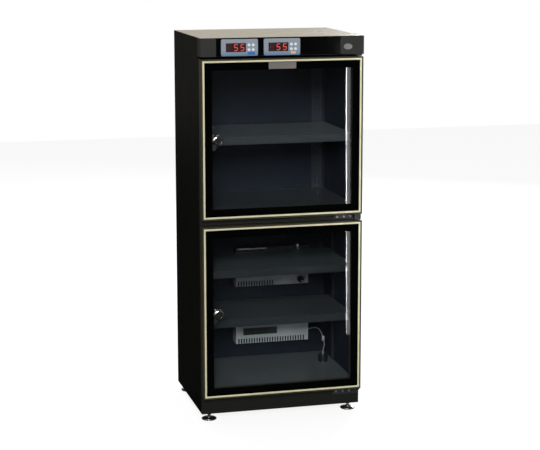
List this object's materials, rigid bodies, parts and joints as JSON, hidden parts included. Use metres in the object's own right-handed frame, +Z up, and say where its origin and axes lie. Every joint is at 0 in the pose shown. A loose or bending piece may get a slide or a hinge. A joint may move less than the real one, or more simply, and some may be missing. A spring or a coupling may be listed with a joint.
{
  "type": "humidity control cabinet",
  "caption": "Tall steel storage cabinet with separate climate chambers behind glazed, gold-trimmed locking doors, slotted shelf rails, humidity units and a header with digital controllers.",
  "frame": {"origin": "on the floor under the middle of the bounding box, on the pads' undersides", "axes": "+Z up, +X to the right as seen by a viewer facing the doors, the doors face -Y"},
  "size_m": [0.545, 0.446, 1.276],
  "materials": {
    "side_paint": "satin powder coat",
    "liner_paint": "satin",
    "top_paint": "satin, smooth",
    "front_paint": "satin",
    "gloss_black": "gloss",
    "deck_paint": "satin",
    "controller_plastic": "satin",
    "display_window": "gloss",
    "zinc": "satin",
    "unit_plastic": "satin",
    "wire_jacket": "satin",
    "sensor_plastic": "satin",
    "button_plastic": "satin",
    "foot_plastic": "gloss",
    "door_paint": "satin",
    "gold_trim": "polished",
    "surround_black": "matte",
    "door_glass": "clear, slightly grey",
    "gasket_rubber": "matte",
    "bush_plastic": "satin",
    "lock_chrome": "polished",
    "lock_steel": "satin"
  },
  "bodies": {
    "cabinet": {"side_panel_left": "side_paint", "side_panel_right": "side_paint", "wall_liners": "liner_paint", "back_panel": "side_paint", "top_cover": "top_paint", "header_fascia": "front_paint", "display_panel": "gloss_black", "ceiling_panels": "liner_paint", "upper_deck": "deck_paint", "lower_floor": "deck_paint", "bottom_pan": "side_paint", "centre_rail": "front_paint", "base_front": "front_paint", "controllers": "controller_plastic", "display_windows": "display_window", "shelf_rails": "liner_paint", "shelf_clips": "zinc", "shelf_upper": "deck_paint", "shelf_middle": "deck_paint", "shelf_lower": "deck_paint", "humidity_unit_upper": "unit_plastic", "humidity_unit_lower": "unit_plastic", "sensor_wire": "wire_jacket", "floor_sensor": "sensor_plastic", "hinge_brackets": "front_paint", "hinge_pins": "zinc", "hinge_screws": "zinc", "strike_plates": "zinc", "power_inlet": "sensor_plastic"},
    "upper_door": {"upper_door_frame": "door_paint", "upper_door_trim": "gold_trim", "upper_door_surround": "surround_black", "upper_door_glass": "door_glass", "upper_door_gasket": "gasket_rubber", "upper_door_bushes": "bush_plastic", "upper_lock_body": "lock_chrome"},
    "upper_lock": {"upper_lock_plug": "lock_steel", "upper_lock_cam": "zinc"},
    "lower_door": {"lower_door_frame": "door_paint", "lower_door_trim": "gold_trim", "lower_door_surround": "surround_black", "lower_door_glass": "door_glass", "lower_door_gasket": "gasket_rubber", "lower_door_bushes": "bush_plastic", "lower_lock_body": "lock_chrome"},
    "lower_lock": {"lower_lock_plug": "lock_steel", "lower_lock_cam": "zinc"},
    "button_1_body": {"button_1": "button_plastic"},
    "button_2_body": {"button_2": "button_plastic"},
    "button_3_body": {"button_3": "button_plastic"},
    "button_4_body": {"button_4": "button_plastic"},
    "button_5_body": {"button_5": "button_plastic"},
    "button_6_body": {"button_6": "button_plastic"},
    "button_7_body": {"button_7": "button_plastic"},
    "button_8_body": {"button_8": "button_plastic"},
    "dial": {"unit_dial": "sensor_plastic"},
    "foot_front_left_body": {"foot_front_left": "foot_plastic"},
    "foot_front_right_body": {"foot_front_right": "foot_plastic"},
    "foot_back_left_body": {"foot_back_left": "foot_plastic"},
    "foot_back_right_body": {"foot_back_right": "foot_plastic"}
  },
  "joints": [
    {"name": "upper_door_hinge", "type": "hinge", "parent": "cabinet", "child": "upper_door", "pos_m": [0.2645, -0.193, 0.9465], "axis": [0, 0, 1], "range_deg": [0, 110]},
    {"name": "lower_door_hinge", "type": "hinge", "parent": "cabinet", "child": "lower_door", "pos_m": [0.2645, -0.193, 0.373], "axis": [0, 0, 1], "range_deg": [0, 110]},
    {"name": "upper_lock_turn", "type": "hinge", "parent": "upper_door", "child": "upper_lock", "pos_m": [-0.2185, -0.213, 0.948], "axis": [0, 1, 0], "range_deg": [0, 90]},
    {"name": "lower_lock_turn", "type": "hinge", "parent": "lower_door", "child": "lower_lock", "pos_m": [-0.2185, -0.213, 0.372], "axis": [0, 1, 0], "range_deg": [0, 90]},
    {"name": "button_1_press", "type": "slide", "parent": "cabinet", "child": "button_1_body", "axis": [0, 1, 0], "range_m": [0, 0.0008], "stiffness_N_per_m": 300},
    {"name": "button_2_press", "type": "slide", "parent": "cabinet", "child": "button_2_body", "axis": [0, 1, 0], "range_m": [0, 0.0008], "stiffness_N_per_m": 300},
    {"name": "button_3_press", "type": "slide", "parent": "cabinet", "child": "button_3_body", "axis": [0, 1, 0], "range_m": [0, 0.0008], "stiffness_N_per_m": 300},
    {"name": "button_4_press", "type": "slide", "parent": "cabinet", "child": "button_4_body", "axis": [0, 1, 0], "range_m": [0, 0.0008], "stiffness_N_per_m": 300},
    {"name": "button_5_press", "type": "slide", "parent": "cabinet", "child": "button_5_body", "axis": [0, 1, 0], "range_m": [0, 0.0008], "stiffness_N_per_m": 300},
    {"name": "button_6_press", "type": "slide", "parent": "cabinet", "child": "button_6_body", "axis": [0, 1, 0], "range_m": [0, 0.0008], "stiffness_N_per_m": 300},
    {"name": "button_7_press", "type": "slide", "parent": "cabinet", "child": "button_7_body", "axis": [0, 1, 0], "range_m": [0, 0.0008], "stiffness_N_per_m": 300},
    {"name": "button_8_press", "type": "slide", "parent": "cabinet", "child": "button_8_body", "axis": [0, 1, 0], "range_m": [0, 0.0008], "stiffness_N_per_m": 300},
    {"name": "dial_turn", "type": "hinge", "parent": "cabinet", "child": "dial", "pos_m": [0.16, 0.154, 0.39], "axis": [0, 1, 0], "range_deg": [0, 270]},
    {"name": "foot_front_left_turn", "type": "hinge", "parent": "cabinet", "child": "foot_front_left_body", "pos_m": [-0.2425, -0.157, 0.026], "axis": [0, 0, 1], "range_deg": [-180, 180]},
    {"name": "foot_front_right_turn", "type": "hinge", "parent": "cabinet", "child": "foot_front_right_body", "pos_m": [0.2425, -0.157, 0.026], "axis": [0, 0, 1], "range_deg": [-180, 180]},
    {"name": "foot_back_left_turn", "type": "hinge", "parent": "cabinet", "child": "foot_back_left_body", "pos_m": [-0.2425, 0.187, 0.026], "axis": [0, 0, 1], "range_deg": [-180, 180]},
    {"name": "foot_back_right_turn", "type": "hinge", "parent": "cabinet", "child": "foot_back_right_body", "pos_m": [0.2425, 0.187, 0.026], "axis": [0, 0, 1], "range_deg": [-180, 180]}
  ]
}
